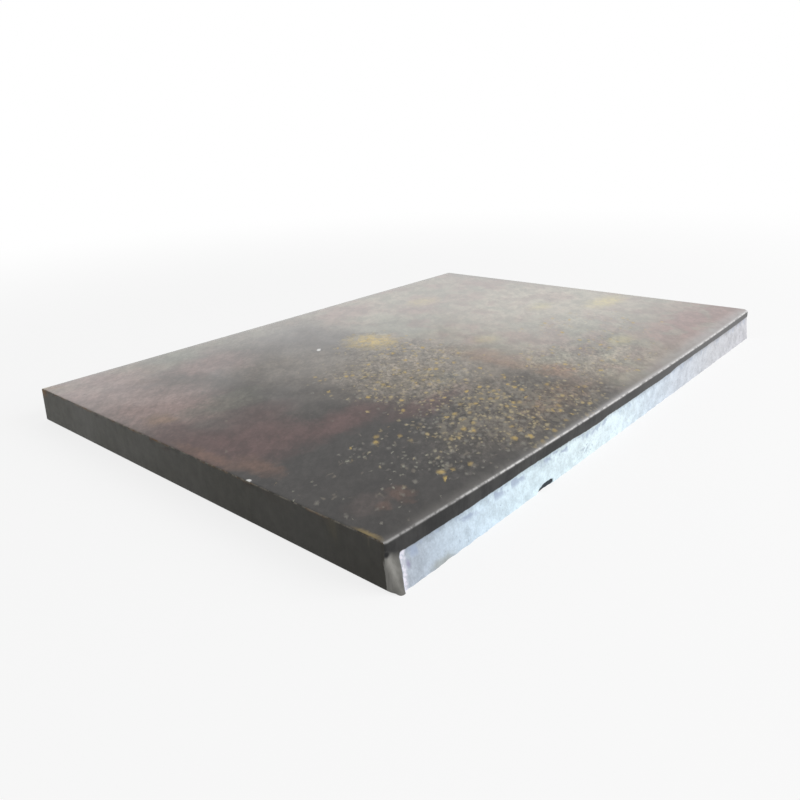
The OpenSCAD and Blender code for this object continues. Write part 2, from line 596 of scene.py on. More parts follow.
def readMark(tree, name):
    return addNode(tree, "ShaderNodeAttribute", {"attribute_name": name}).outputs["Fac"]


def newGroup(name, numbers, outs):
    tree = bpy.data.node_groups.new(name, "ShaderNodeTree")
    sockets = tree.interface
    sockets.new_socket("Vector", in_out="INPUT", socket_type="NodeSocketVector")
    for title, value in numbers.items():
        socket = sockets.new_socket(title, in_out="INPUT", socket_type="NodeSocketFloat")
        socket.default_value = value
    for title, kind in outs.items():
        sockets.new_socket(title, in_out="OUTPUT", socket_type="NodeSocket" + kind)
    gin, gout = addNode(tree, "NodeGroupInput"), addNode(tree, "NodeGroupOutput")
    return tree, gin.outputs, gout.inputs


def useGroup(tree, group, vals, links):
    return addNode(tree, "ShaderNodeGroup", {"node_tree": group}, vals, links).outputs


# soft flecks of rust and stain, ragged and uneven in size
def makeFlecks():
    tree, gin, gout = newGroup("fleckField", {
        "Size": 2.4, "Cover": 0.5, "Soft": 0.11}, {"Mask": "Float"})
    spots = noiseFac(tree, gin["Vector"], gin["Size"], 2.5, 0.55, 0.5)
    low = ramp(tree, gin["Cover"], 0.0, 1.0, 0.68, 0.485, "LINEAR")
    high = plus(tree, low, gin["Soft"])
    tree.links.new(ramp(tree, spots, low, high), gout["Mask"])
    return tree


# single grains, each with a size and a strength of its own
grainLook = {"warpSize": 1.6, "warp": 2.4, "reach": (0.30, 0.58), "power": (0.4, 1.25)}


def makeGrains():
    tree, gin, gout = newGroup("grainField", {
        "Size": 2.6, "Cover": 0.5}, {"Mask": "Float", "Pick": "Float"})
    moved = warped(tree, gin["Vector"], grainLook["warpSize"], grainLook["warp"])
    cells = addNode(tree, "ShaderNodeTexVoronoi", {"feature": "F1", "voronoi_dimensions": "2D"}, {
        "Randomness": 1.0}, {"Vector": moved, "Scale": mathNode(tree, "DIVIDE", 1.0, gin["Size"])})
    draw = addNode(tree, "ShaderNodeSeparateColor", links={"Color": cells.outputs["Color"]}).outputs
    shown = mathNode(tree, "LESS_THAN", draw["Red"], gin["Cover"])
    reach = ramp(tree, draw["Green"], 0.0, 1.0, *grainLook["reach"], "LINEAR")
    spot = ramp(tree, cells.outputs["Distance"], 0.0, reach, 1.0, 0.0)
    power = ramp(tree, draw["Blue"], 0.0, 1.0, *grainLook["power"], "LINEAR")
    mask = times(tree, times(tree, spot, shown), power)
    tree.links.new(mathNode(tree, "MINIMUM", mask, 1.0), gout["Mask"])
    tree.links.new(draw["Green"], gout["Pick"])
    return tree


# broad soft stains with a broken edge
def makeStains():
    tree, gin, gout = newGroup("stainField", {"Size": 25.0, "Level": 0.55}, {"Mask": "Float"})
    broad = noiseFac(tree, gin["Vector"], gin["Size"], 6.0, 0.62, 0.5)
    high = plus(tree, gin["Level"], 0.14)
    tree.links.new(ramp(tree, broad, gin["Level"], high), gout["Mask"])
    return tree


# the rolled edge's ridge: worn steel with a painted highlight, least near the near corner
def makeRidgeShine():
    tree, gin, gout = newGroup("ridgeWearAndShine", {"RidgeShine": 0.0}, {"Mask": "Float"})
    cornerward = ramp(tree, axes(tree, gin["Vector"])["X"], -144, -88, 0.5, 1.0)
    patchy = ramp(tree, noiseFac(tree, gin["Vector"], 2.4, 3, 0.6), 0.36, 0.56, 0.45, 1.0)
    tree.links.new(times(tree, times(tree, gin["RidgeShine"], cornerward), patchy), gout["Mask"])
    return tree


# the smeared metal of the corner strip, on the sheared side and round on to the end
stripLook = {
    "dark": (0.185, 0.182, 0.168),
    "light": (0.255, 0.250, 0.234),
    # pit: painted shade in the dent near the top of the strip
    "pitShade": (0.025, 0.025, 0.026),
    "dragSize": 1.6,
    "ragSize": 1.4,
    "rag": 0.9,
}


def makeStrip():
    tree, gin, gout = newGroup("stripMetal", {"Reach": 0.0, "Drop": 0.0}, {
        "Color": "Color", "Mask": "Float", "Inside": "Float"})
    at = gin["Vector"]
    drag = noiseFac(tree, shifted(tree, at, size=(1, 1, 0.15)), stripLook["dragSize"], 4, 0.6)
    colour = mixColour(tree, ramp(tree, drag, 0.3, 0.7), stripLook["dark"], stripLook["light"])
    fromPit = lengthOf(tree, shifted(tree, at, tuple(-c for c in strip["pitAt"])))
    # dark spot round the dent: painted shade
    colour = mixColour(tree, ramp(tree, fromPit, 0.5, 1.5, 1.0, 0.0), colour, stripLook["pitShade"])
    rag = sway(tree, noiseFac(tree, at, stripLook["ragSize"], 3, 0.6), stripLook["rag"])
    inside = ramp(tree, plus(tree, gin["Reach"], rag), -0.2, 0.25)
    slope = times(tree, less(tree, gin["Reach"], 3.0), 0.45)
    depth = plus(tree, plus(tree, gin["Drop"], rag), slope)
    tree.links.new(colour, gout["Color"])
    tree.links.new(times(tree, inside, ramp(tree, depth, -1.8, 1.0)), gout["Mask"])
    tree.links.new(inside, gout["Inside"])
    return tree


def newMaterial(name):
    mat = bpy.data.materials.new(name)
    mat.use_nodes = True
    tree = mat.node_tree
    tree.nodes.clear()
    bsdf = addNode(tree, "ShaderNodeBsdfPrincipled")
    addNode(tree, "ShaderNodeOutputMaterial", links={"Surface": bsdf.outputs["BSDF"]})
    coords = addNode(tree, "ShaderNodeTexCoord")
    at = shifted(tree, coords.outputs["Object"], size=(1 / mm, 1 / mm, 1 / mm))    # in millimetres
    return mat, tree, bsdf, at


def addBump(tree, bsdf, height, depth, reach=1.0):
    node = addNode(tree, "ShaderNodeBump", vals={
        "Strength": depth, "Distance": reach * mm}, links={"Height": height})
    tree.links.new(node.outputs["Normal"], bsdf.inputs["Normal"])


# hot-rolled scale on the broad faces; patches are place, reach and strength in millimetres
scaleLook = {
    "dark": (0.036, 0.033, 0.031),
    "grey": (0.086, 0.075, 0.064),
    # pale and bright tones of the far half: the scale's own tone with painted sheen
    "paleAndSheen": (0.285, 0.248, 0.192),
    "brightSheen": (0.410, 0.368, 0.288),
    "mauve": (0.262, 0.181, 0.162),
    "rose": (0.240, 0.138, 0.122),
    "maroon": (0.108, 0.060, 0.056),
    "green": (0.112, 0.112, 0.090),
    "sage": (0.245, 0.250, 0.190),
    "haze": (0.245, 0.208, 0.165),
    "brown": (0.225, 0.145, 0.090),
    "russet": (0.165, 0.092, 0.066),
    "ochre": (0.57, 0.415, 0.150),
    "tan": (0.205, 0.180, 0.138),
    "straw": (0.46, 0.390, 0.245),
    "chalk": (0.34, 0.335, 0.275),
    "grit": (0.235, 0.222, 0.190),
    "yellow": (0.62, 0.44, 0.085),
    "lemon": (0.60, 0.51, 0.21),
    # painted glints on the scale
    "glint": (0.80, 0.80, 0.78),
    "rubbed": (0.135, 0.128, 0.118),
    # rubbed scale on the rolled slope with painted sheen
    "rubbedFarSheen": (0.46, 0.45, 0.455),
    # worn bare steel on the ridge with a painted highlight
    "bareAndHighlight": (0.78, 0.77, 0.76),
    "hazeAt": [((-26, -18), (64, 62), 0.85), ((-60, 34), (40, 40), 0.35),
               ((-50, -84), (62, 30), 0.25)],
    "sageAt": [((72, -54), (40, 24), 0.6), ((20, 40), (34, 30), 0.5), ((-92, 99), (30, 14), 0.6)],
    # bright far patches: painted sheen
    "brightSheenAt": [((112, 4), (78, 66), 0.9), ((44, 78), (60, 40), 0.55),
                 ((-116, 94), (36, 22), 0.6)],
    "mauveAt": [((-138, 90), (46, 44), 0.95), ((-130, 40), (38, 42), 0.85),
                ((-80, 70), (28, 28), 0.45), ((30, -60), (42, 22), 0.35),
                ((-136, -86), (13, 11), 0.1)],
    "roseAt": [((120, -94), (92, 36), 0.95), ((70, 62), (44, 26), 0.4), ((136, 62), (22, 44), 0.4),
               ((26, 88), (36, 22), 0.5), ((-86, 71), (24, 18), 0.35)],
    "maroonAt": [((-128, -18), (32, 28), 0.8), ((-142, 4), (16, 30), 0.6),
                 ((-108, 0), (24, 16), 0.45), ((-98, -32), (40, 14), 0.8),
                 ((-62, -48), (36, 12), 0.6)],
    "greenAt": [((-112, 23), (30, 11), 0.7), ((-33, -33), (13, 15), 0.6),
                ((44, -64), (36, 18), 0.55), ((-92, 98), (28, 14), 0.5),
                ((20, 36), (24, 26), 0.35)],
    "brownAt": [((1, -36), (14, 42), 0.75), ((2, -68), (14, 15), 0.9), ((-24, -86), (44, 15), 0.35),
                ((-138, 28), (8, 9), 0.6), ((-147, 103), (7, 8), 0.9)],
    "russetAt": [((-141, -38), (8, 16), 0.55), ((-147, -16), (5, 26), 0.6),
                 ((-126, -88), (7, 6), 0.4), ((-135, -90), (5, 4), 0.4),
                 ((-128, -94), (3, 3), 0.3)],
    "yellowAt": [((-12, 31), (18, 20), 1.0)],
    "lemonAt": [((127, -30), (26, 12), 0.95), ((69, 64), (18, 12), 0.5), ((97, -4), (16, 9), 0.5),
                ((24, -16), (12, 10), 0.4), ((58, -72), (16, 8), 0.4)],
    "glintAt": [((-39.0, 42.6), (1.2, 1.2), 1.0), ((-38.2, 43.3), (1.2, 1.2), 1.0),
                ((-37.4, 44.0), (1.2, 1.2), 1.0), ((-149.4, -43.9), (1.1, 1.3), 1.0)],
    "orangeAt": [((-107.8, -89.7), (2.2, 2.2), 0.9), ((-149.4, -97), (1.8, 8), 0.4),
                 ((-149, 106), (3, 3), 0.7)],
    # where the grains of rust lie thick
    "crowdAt": [((-52, -76), (62, 40), 1.0), ((-38, -92), (58, 20), 0.8),
                ((-96, -84), (32, 22), 0.6), ((-46, -24), (44, 54), 0.9),
                ((-22, 0), (40, 44), 0.9), ((-104, -66), (30, 24), 0.4),
                ((24, -70), (56, 40), 0.6), ((-12, 31), (24, 24), 1.0),
                ((-130, -90), (22, 14), 0.22), ((-144, -72), (10, 28), 0.2),
                ((70, -50), (54, 44), 0.3)],
    # sizes of the patterns in the scale
    "cloudSize": 34,
    "hueSize": 17,
    "patchSize": 6,
    "coarseSize": 2.8,
    "lumpSize": 2.6,
    "fineSize": 1.5,
    "clumpSize": 9,
    "drawn": 0.6,          # share that remains along the way of rolling
    "hueDrawn": 0.8,
    "filmRough": 0.26,     # the oily film
}

# grains and dust of rust: size in millimetres, shift of the pattern, share of the cover, strength
rustLook = {
    "hollows": {"size": 2.8, "shift": (67, 5, 0), "cover": 0.7, "strength": 0.45},
    "mottle": {"size": 3.8, "shift": (19, 83, 0), "cover": 1.0, "strength": 0.6},
    "grit": {"size": 2.5, "shift": (13, 71, 0), "cover": 0.6, "strength": 0.7},
    "grains": {"size": 2.9, "shift": (0, 0, 0), "cover": 1.0, "strength": 0.9},
    "dust": {"size": 1.75, "shift": (31, 17, 0), "cover": 0.65, "strength": 0.8},
}


# dark scale near the near corner, greyer away from it, a paler film over the far half with a fairly
# clear edge, and patches of colour; the darkening near that corner, the pale film and the bright
# far patches are partly the scale's own tone and partly painted sheen that grows with distance from
# that corner
def layGround(tree, at, loose, broken, drift):
    # darker near the near corner, greyer away from it: partly painted sheen
    tint = mixColour(tree, ramp(tree, drift, 70, 180), scaleLook["dark"], scaleLook["grey"])
    adrift = axes(tree, loose)
    filmAndSheen = larger(tree, ramp(tree, adrift["X"], -18, 18),
                  ramp(tree, adrift["Y"], 66, 112, 0.0, 0.6))
    tint = mixColour(tree, filmAndSheen, tint, scaleLook["paleAndSheen"])
    for name in ("haze", "brightSheen", "sage", "mauve", "rose", "maroon", "green"):
        tint = layPatches(tree, tint, loose, scaleLook[name + "At"], scaleLook[name])
    for name in ("brown", "russet"):
        tint = layPatches(tree, tint, broken, scaleLook[name + "At"], scaleLook[name])
    streaky = drawnOut(tree, at, scaleLook["hueDrawn"])
    hue = noiseFac(tree, streaky, scaleLook["hueSize"], 4, 0.55, 0.3)
    tint = layOver(tree, tint, filmAndSheen, ramp(tree, hue, 0.48, 0.64, 0.0, 0.45), scaleLook["rose"])
    tint = layOver(tree, tint, filmAndSheen, ramp(tree, hue, 0.36, 0.50, 0.5, 0.0), scaleLook["sage"])
    return tint, filmAndSheen


def scatter(tree, group, drawn, cover, name):
    look = rustLook[name]
    return useGroup(tree, group, {"Size": look["size"]}, {
        "Vector": shifted(tree, drawn, look["shift"]), "Cover": times(tree, cover, look["cover"])})


# drifts of rust: dark hollows and a tan mottle, then grit, single grains and dust
def layRust(tree, groups, tint, at, drawn, crowd):
    side = axes(tree, at)["X"]
    clump = noiseFac(tree, at, scaleLook["clumpSize"], 4, 0.6)
    cover = times(tree, ramp(tree, clump, 0.42, 0.60, 0.12, 1.0), crowd)
    rustward = times(tree, cover, ramp(tree, side, -124, -78, 0.3, 0.85))
    under = (("hollows", "fleck", "dark"), ("mottle", "fleck", "tan"), ("grit", "grain", "grit"))
    for name, kind, colour in under:
        mask = scatter(tree, groups[kind], drawn, crowd, name)["Mask"]
        tint = layOver(tree, tint, mask, rustLook[name]["strength"], scaleLook[colour])
    grains = scatter(tree, groups["grain"], drawn, rustward, "grains")
    colour = mixColour(tree, ramp(tree, grains["Pick"], 0.35, 0.8),
                       scaleLook["straw"], scaleLook["ochre"])
    tint = layOver(tree, tint, grains["Mask"], rustLook["grains"]["strength"], colour)
    dust = scatter(tree, groups["grain"], drawn, cover, "dust")
    colour = mixColour(tree, ramp(tree, side, -112, -74), scaleLook["chalk"], scaleLook["straw"])
    tint = layOver(tree, tint, dust["Mask"], rustLook["dust"]["strength"], colour)
    return tint, grains["Mask"], dust["Mask"]


# darker rims at the far end and the back, a rubbed band along the rolled edge, a pale band on the
# rolled slope of rubbed scale and painted sheen, and the ridge's painted highlight
def wearEdges(tree, groups, tint, at, patch):
    place = axes(tree, at)
    rims = times(tree, ramp(tree, place["X"], 140, 149), ramp(tree, place["Y"], 0, 60, 0.1, 0.6))
    rims = larger(tree, rims, ramp(tree, place["Y"], 102, 107, 0.0, 0.45))
    tint = mixColour(tree, rims, tint, scaleLook["grey"])
    rubbed = times(tree, ramp(tree, place["Y"], -99, -104), ramp(tree, patch, 0.3, 0.62, 0.2, 0.6))
    tint = mixColour(tree, rubbed, tint, scaleLook["rubbed"])
    # pale band on the rolled slope towards the far end: rubbed scale with painted sheen
    wipedAndSheen = times(tree, ramp(tree, place["Y"], -95, -104),
                  ramp(tree, place["X"], -20, 90, 0.0, 0.5))
    wipedAndSheen = times(tree, wipedAndSheen, ramp(tree, patch, 0.34, 0.6, 0.5, 1.0))
    farward = ramp(tree, place["X"], -110, 10, 0.1, 0.85)
    wipedAndSheen = larger(tree, wipedAndSheen, times(tree, readMark(tree, "wornAndShine"), farward))
    tint = mixColour(tree, wipedAndSheen, tint, scaleLook["rubbedFarSheen"])
    # the ridge's painted highlight over worn bare steel
    bareAndHighlight = useGroup(tree, groups["ridgeShine"], {}, {"Vector": at, "RidgeShine": readMark(tree, "ridgeShine")})
    return mixColour(tree, bareAndHighlight["Mask"], tint, scaleLook["bareAndHighlight"])


def makeScale(groups):
    mat, tree, bsdf, at = newMaterial("millScale")
    loose = warped(tree, at, 16, 26)
    broken = warped(tree, at, 6, 12)
    drawn = drawnOut(tree, at, scaleLook["drawn"])
    fine = noiseFac(tree, drawn, scaleLook["fineSize"], 6, 0.7)
    patch = noiseFac(tree, drawn, scaleLook["patchSize"], 5, 0.6)
    coarse = noiseFac(tree, drawn, scaleLook["coarseSize"], 4, 0.6)
    cloud = noiseFac(tree, at, scaleLook["cloudSize"], 5, 0.6, 0.4)
    fromCorner = lengthOf(tree, shifted(tree, at, (150, 104, 0), (1, 1, 0)))
    drift = plus(tree, fromCorner, sway(tree, cloud, 110))
    crowd = None
    for spot, size, strength in scaleLook["crowdAt"]:
        part = times(tree, patchAt(tree, loose, spot, size, 0.3), strength)
        crowd = part if crowd is None else larger(tree, crowd, part)

    tint, filmAndSheen = layGround(tree, at, loose, broken, drift)
    grainy = shade(tree, tint, fine, 0.4, 0.6, 0.62, 1.4)
    grainy = shade(tree, grainy, coarse, 0.38, 0.62, 0.62, 1.42)
    tint = mixColour(tree, larger(tree, ramp(tree, filmAndSheen, 0.3, 1.0, 0.2, 0.12), crowd), tint, grainy)
    tint = shade(tree, tint, patch, 0.36, 0.64, 0.82, 1.18)
    lumpy = ramp(tree, noiseFac(tree, drawn, scaleLook["lumpSize"], 3, 0.6), 0.40, 0.58, 0.6, 1.0)
    for name in ("yellow", "lemon"):
        for spot, size, strength in scaleLook[name + "At"]:
            mask = times(tree, patchAt(tree, broken, spot, size, 0.1), lumpy)
            tint = layOver(tree, tint, mask, strength, scaleLook[name])
    tint, grains, dust = layRust(tree, groups, tint, at, drawn, crowd)
    ragged = warped(tree, at, grainLook["warpSize"], grainLook["warp"])
    tint = layPatches(tree, tint, ragged, scaleLook["orangeAt"], scaleLook["ochre"], 0.0)
    # small white spots: painted glints
    tint = layPatches(tree, tint, at, scaleLook["glintAt"], scaleLook["glint"], 0.5)
    tint = wearEdges(tree, groups, tint, at, patch)
    tree.links.new(tint, bsdf.inputs["Base Color"])
    rusty = larger(tree, grains, dust)
    rough = mixValue(tree, rusty, ramp(tree, drift, 70, 250, 0.55, 0.39), 0.7)
    tree.links.new(rough, bsdf.inputs["Roughness"])

    # an oily film that shows most on the far half
    inward = ramp(tree, axes(tree, at)["Y"], -100, -40, 0.6, 1.0)
    oil = times(tree, ramp(tree, drift, 95, 260, 0.05, 1.0), inward)
    oil = times(tree, oil, less(tree, 1.0, times(tree, rusty, 0.6)))
    tree.links.new(oil, bsdf.inputs["Coat Weight"])
    bsdf.inputs["Coat Roughness"].default_value = scaleLook["filmRough"]
    height = plus(tree, times(tree, fine, 0.6), times(tree, grains, 0.8))
    addBump(tree, bsdf, height, 0.35, 0.14)
    return mat


# the sheared side: worn turn with a painted highlight, dark burnished land, bright torn metal with
# a painted bluish reflection
shearLook = {
    "land": (0.026, 0.026, 0.026),
    "landPale": (0.050, 0.049, 0.048),
    "landFar": (0.130, 0.129, 0.130),
    # turn: worn steel with a painted highlight
    "turn": (0.74, 0.73, 0.72),
    "blotch": (0.27, 0.32, 0.41),
    # bluish stains under the land, partly painted shade
    "stain": (0.38, 0.45, 0.58),
    # rim: a painted highlight along the strip's edge
    "rimHighlight": (0.86, 0.84, 0.93),
    "olive": (0.32, 0.32, 0.26),
    "bruise": (0.33, 0.32, 0.44),
    # hollow: painted shade inside the chip
    "hollowShade": (0.045, 0.053, 0.062),
    # torn metal from the near end to the far end, as share of the length and colour; its bluish
    # cast is a painted sky reflection over the pale torn steel
    "torn": [(0.0, (0.44, 0.48, 0.54)), (0.06, (0.47, 0.54, 0.62)), (0.13, (0.64, 0.76, 0.86)),
             (0.22, (0.69, 0.82, 0.89)), (0.38, (0.75, 0.86, 0.90)), (0.46, (0.73, 0.84, 0.90)),
             (0.56, (0.66, 0.74, 0.82)), (0.66, (0.60, 0.64, 0.70)), (0.80, (0.56, 0.57, 0.60)),
             (1.0, (0.55, 0.55, 0.58))],
    # stained places on the face, along it and down from the top face's plane
    "pitted": ((-43, -3.6), (12, 3.6)),
    "oliveAt": ((-129, -0.4), (8, 2.6)),
    "bruiseAt": ((-142.3, -6.0), (1.3, 2.0)),
    "dragSize": 0.9,
    "smearSize": 12,
    "grainSize": 0.8,
    "cloudSize": 4.5,
    "gloss": 0.14,
}


# dark metal that the blade smeared, paler towards the far end, under the painted highlight of the
# worn turn
def landTint(tree, groups, at, side, drag):
    smear = noiseFac(tree, at, shearLook["smearSize"], 4, 0.6)
    streaks = ramp(tree, mixValue(tree, 0.7, drag, smear), 0.38, 0.66)
    tint = mixColour(tree, streaks, shearLook["land"], shearLook["landPale"])
    tint = mixColour(tree, ramp(tree, side, -60, 120, 0.0, 0.85), tint, shearLook["landFar"])
    wornAndShine = useGroup(tree, groups["ridgeShine"], {}, {"Vector": at, "RidgeShine": readMark(tree, "ridgeShine")})
    return mixColour(tree, wornAndShine["Mask"], tint, shearLook["turn"])


# bright metal that tore, with stains, painted shade under the land, pits and a painted highlight
# along the rim of the strip
def tornTint(tree, groups, at, side, drop, reach, grain):
    flat = shifted(tree, at, turn=(math.pi / 2, 0, 0))
    share = ramp(tree, side, nearX, farX, kind="LINEAR")
    tones = addNode(tree, "ShaderNodeValToRGB", links={"Fac": share})
    stops = tones.color_ramp.elements
    while len(stops) < len(shearLook["torn"]):
        stops.new(0.5)
    for stop, (place, colour) in zip(stops, shearLook["torn"]):
        stop.position = place
        stop.color = (*colour, 1.0)
    cloud = noiseFac(tree, at, shearLook["cloudSize"], 4, 0.62)
    torn = shade(tree, tones.outputs["Color"], cloud, 0.34, 0.62, 0.88, 1.07)
    torn = shade(tree, torn, grain, 0.3, 0.7, 0.90, 1.08)
    # darker just under the land: painted shade under its edge
    torn = shade(tree, torn, plus(tree, drop, times(tree, cloud, 1.5)), 0.4, 3.6, 0.76, 1.03)
    # a row of bluish stains under the land, partly painted shade
    row = times(tree, ramp(tree, drop, 0.1, 0.9), ramp(tree, drop, 2.2, 4.2, 1.0, 0.0))
    row = times(tree, row, ramp(tree, side, -50, 20, 1.0, 0.35))
    stainsAndShade = useGroup(tree, groups["fleck"], {
        "Size": 5.0, "Cover": 0.95, "Soft": 0.13}, {"Vector": flat})
    torn = layOver(tree, torn, times(tree, row, stainsAndShade["Mask"]), 0.8, shearLook["stain"])
    loose = warped(tree, flat, 3, 3)
    pitted = patchAt(tree, loose, *shearLook["pitted"], 0.2)
    pits = useGroup(tree, groups["fleck"], {"Size": 1.6, "Soft": 0.1}, {
        "Vector": shifted(tree, flat, (9, 4, 3)),
        "Cover": plus(tree, times(tree, pitted, 0.7), 0.1)})
    torn = layOver(tree, torn, pits["Mask"], 0.45, shearLook["blotch"])
    olive = patchAt(tree, loose, *shearLook["oliveAt"], 0.2)
    torn = layOver(tree, torn, olive, 0.55, shearLook["olive"])
    # a painted lilac-white highlight along the strip's ragged edge
    rimHighlight = times(tree, ramp(tree, reach, -2.8, -1.4), ramp(tree, reach, -0.4, 0.1, 1.0, 0.0))
    rimHighlight = times(tree, rimHighlight, ramp(tree, noiseFac(tree, at, 2.0, 3, 0.6), 0.40, 0.58, 0.35, 0.95))
    torn = mixColour(tree, rimHighlight, torn, shearLook["rimHighlight"])
    bruise = patchAt(tree, warped(tree, flat, 1.5, 1.2), *shearLook["bruiseAt"], 0.1)
    torn = layOver(tree, torn, bruise, 0.85, shearLook["bruise"])
    # the shallow chip is darkened with painted shade
    hollowShade = ramp(tree, readMark(tree, "chipShade"), 0.15, 0.7)
    return mixColour(tree, hollowShade, torn, shearLook["hollowShade"])


def makeShear(groups):
    mat, tree, bsdf, at = newMaterial("shearedSide")
    side = axes(tree, at)["X"]
    drop = readMark(tree, "drop")
    reach = readMark(tree, "burnish")
    drag = noiseFac(tree, shifted(tree, at, size=(1, 1, 0.09)), shearLook["dragSize"], 4, 0.6)
    grain = noiseFac(tree, at, shearLook["grainSize"], 5, 0.7)
    depth = plus(tree, drop, sway(tree, noiseFac(tree, at, 1.5, 4, 0.6), 0.8))
    tornMask = ramp(tree, depth, -0.12, 0.30)
    metal = useGroup(tree, groups["strip"], {}, {"Vector": at, "Reach": reach, "Drop": drop})
    bared = times(tree, tornMask, less(tree, 1.0, metal["Inside"]))
    land = landTint(tree, groups, at, side, drag)
    tint = mixColour(tree, bared, land, tornTint(tree, groups, at, side, drop, reach, grain))
    # strip darker near its ragged edge and lighter further in: painted shading
    smearedShaded = shade(tree, metal["Color"], reach, 0.4, 3.6, 0.82, 1.14)
    tint = mixColour(tree, metal["Mask"], tint, smearedShaded)
    tree.links.new(tint, bsdf.inputs["Base Color"])
    dull = larger(tree, tornMask, metal["Mask"])
    tree.links.new(mixValue(tree, dull, 0.5, 0.64), bsdf.inputs["Roughness"])
    bsdf.inputs["Specular IOR Level"].default_value = shearLook["gloss"]
    height = times(tree, grain, less(tree, tornMask, times(tree, metal["Mask"], 0.8)))
    height = plus(tree, height, times(tree, drag, ramp(tree, depth, -0.2, 0.3, 0.10, 0.0)))
    addBump(tree, bsdf, height, 0.6, 0.25)
    return mat


# the plain cut ends and the back
endLook = {
    # near and far: the end is darker towards the near corner, a painted shade
    "near": (0.043, 0.041, 0.035),
    "far": (0.108, 0.106, 0.094),
    "olive": (0.105, 0.092, 0.060),
    "rust": (0.24, 0.125, 0.045),
    # rim: painted reflection along the eased top edge
    "rimHighlight": (0.20, 0.185, 0.155),
    # mark: stains and a painted shadow under the top edge
    "markAndShade": (0.045, 0.028, 0.024),
    "dragSize": 2.0,
    "cloudSize": 30,
    "patchSize": 5,
    "chipSize": 2.6,
    "gloss": 0.22,
}


def makeEnd(groups):
    mat, tree, bsdf, at = newMaterial("cutEnd")
    place = axes(tree, at)
    drag = noiseFac(tree, shifted(tree, at, size=(1, 1, 0.10)), endLook["dragSize"], 5, 0.6)
    cloud = noiseFac(tree, at, endLook["cloudSize"], 4, 0.55)
    drift = plus(tree, place["Y"], sway(tree, cloud, 90))
    # darker towards the near corner: painted shade
    tint = mixColour(tree, ramp(tree, drift, -110, 120), endLook["near"], endLook["far"])
    tint = shade(tree, tint, drag, 0.32, 0.68, 0.95, 1.05)
    patch = noiseFac(tree, at, endLook["patchSize"], 5, 0.65)
    tint = shade(tree, tint, patch, 0.3, 0.7, 0.86, 1.14)

    # olive stains towards the near corner, and dark marks under the top edge that are partly stains
    # and partly a painted shadow of the edge's slight overhang
    stain = useGroup(tree, groups["stain"], {"Size": 9.0, "Level": 0.54}, {
        "Vector": shifted(tree, at, (3, 9, 5), (1, 1, 0.35))})
    olive = times(tree, stain["Mask"], ramp(tree, place["Z"], 4.0, 15.0))
    olive = times(tree, olive, ramp(tree, place["Y"], -98, -70, 1.0, 0.12))
    tint = layOver(tree, tint, olive, 0.75, endLook["olive"])
    marks = useGroup(tree, groups["stain"], {"Size": 7.0, "Level": 0.50}, {
        "Vector": shifted(tree, at, (1, 31, 5), (1, 0.6, 1))})
    under = times(tree, ramp(tree, place["Z"], 12.2, 15.2),
                  ramp(tree, place["Y"], -60, 0, 0.3, 1.0))
    tint = layOver(tree, tint, times(tree, marks["Mask"], under), 0.8, endLook["markAndShade"])

    # rust along the top edge and at the back corner, and a pale broken line on the top edge that is
    # a painted reflection
    rust = useGroup(tree, groups["stain"], {"Size": 12.0, "Level": 0.46}, {
        "Vector": shifted(tree, at, (8, 2, 5))})
    rustyEdge = times(tree, ramp(tree, place["Z"], 14.9, 15.85), rust["Mask"])
    tint = layOver(tree, tint, rustyEdge, 0.6, endLook["rust"])
    rustyCorner = times(tree, ramp(tree, place["Y"], 99, 106), ramp(tree, place["Z"], 11, 15.5))
    rustyCorner = times(tree, rustyCorner, ramp(tree, place["X"], -149, -142, 1.0, 0.0))
    tint = layOver(tree, tint, rustyCorner, 0.7, endLook["rust"])
    chips = noiseFac(tree, at, endLook["chipSize"], 5, 0.65)
    rimHighlight = times(tree, ramp(tree, place["Z"], 15.4, 15.8), ramp(tree, chips, 0.42, 0.58))
    tint = layOver(tree, tint, rimHighlight, 0.8, endLook["rimHighlight"])
    metal = useGroup(tree, groups["strip"], {}, {
        "Vector": at, "Reach": readMark(tree, "burnish"), "Drop": readMark(tree, "drop")})
    tint = mixColour(tree, metal["Mask"], tint, metal["Color"])
    tree.links.new(tint, bsdf.inputs["Base Color"])
    tree.links.new(ramp(tree, cloud, 0.3, 0.7, 0.5, 0.66), bsdf.inputs["Roughness"])
    bsdf.inputs["Specular IOR Level"].default_value = endLook["gloss"]
    addBump(tree, bsdf, plus(tree, times(tree, drag, 0.25), times(tree, chips, 0.8)), 0.3, 0.12)
    return mat


shared = {
    "fleck": makeFlecks(),
    "grain": makeGrains(),
    "stain": makeStains(),
    "ridgeShine": makeRidgeShine(),
    "strip": makeStrip(),
}
plateMesh = bpy.data.meshes.new("plateSkin")
bmPlate = buildPlate()
bmPlate.to_mesh(plateMesh)
bmPlate.free()
plateSkin = bpy.data.objects.new("plateSkin", plateMesh)
bpy.context.scene.collection.objects.link(plateSkin)
for maker in (makeScale, makeShear, makeEnd):
    plateMesh.materials.append(maker(shared))
plateMesh.set_sharp_from_angle(angle=math.radians(50))
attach(plateSkin, "root")
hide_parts("plate")
print("plate skin", len(plateMesh.polygons))

# studio: pale floor that fades to white, white surroundings, one soft lamp on the sheared side
studio = {
    "skyLight": 0.5,
    "lampPower": 10.0,
    "lampSize": 0.9,
    "lampAt": (0.45, -1.0, 0.65),
    "lampAim": (0, -0.03, 0.01),
    "floorSize": 6.0,
    "floorColour": (0.86, 0.86, 0.86),
    "floorNear": 0.80,
    "fadeFrom": 0.22,
    "fadeTo": 0.75,
}


def seenDirectly(tree):
    path = addNode(tree, "ShaderNodeLightPath").outputs
    seen = larger(tree, path["Is Camera Ray"], path["Is Glossy Ray"])
    return larger(tree, seen, path["Is Transmission Ray"])


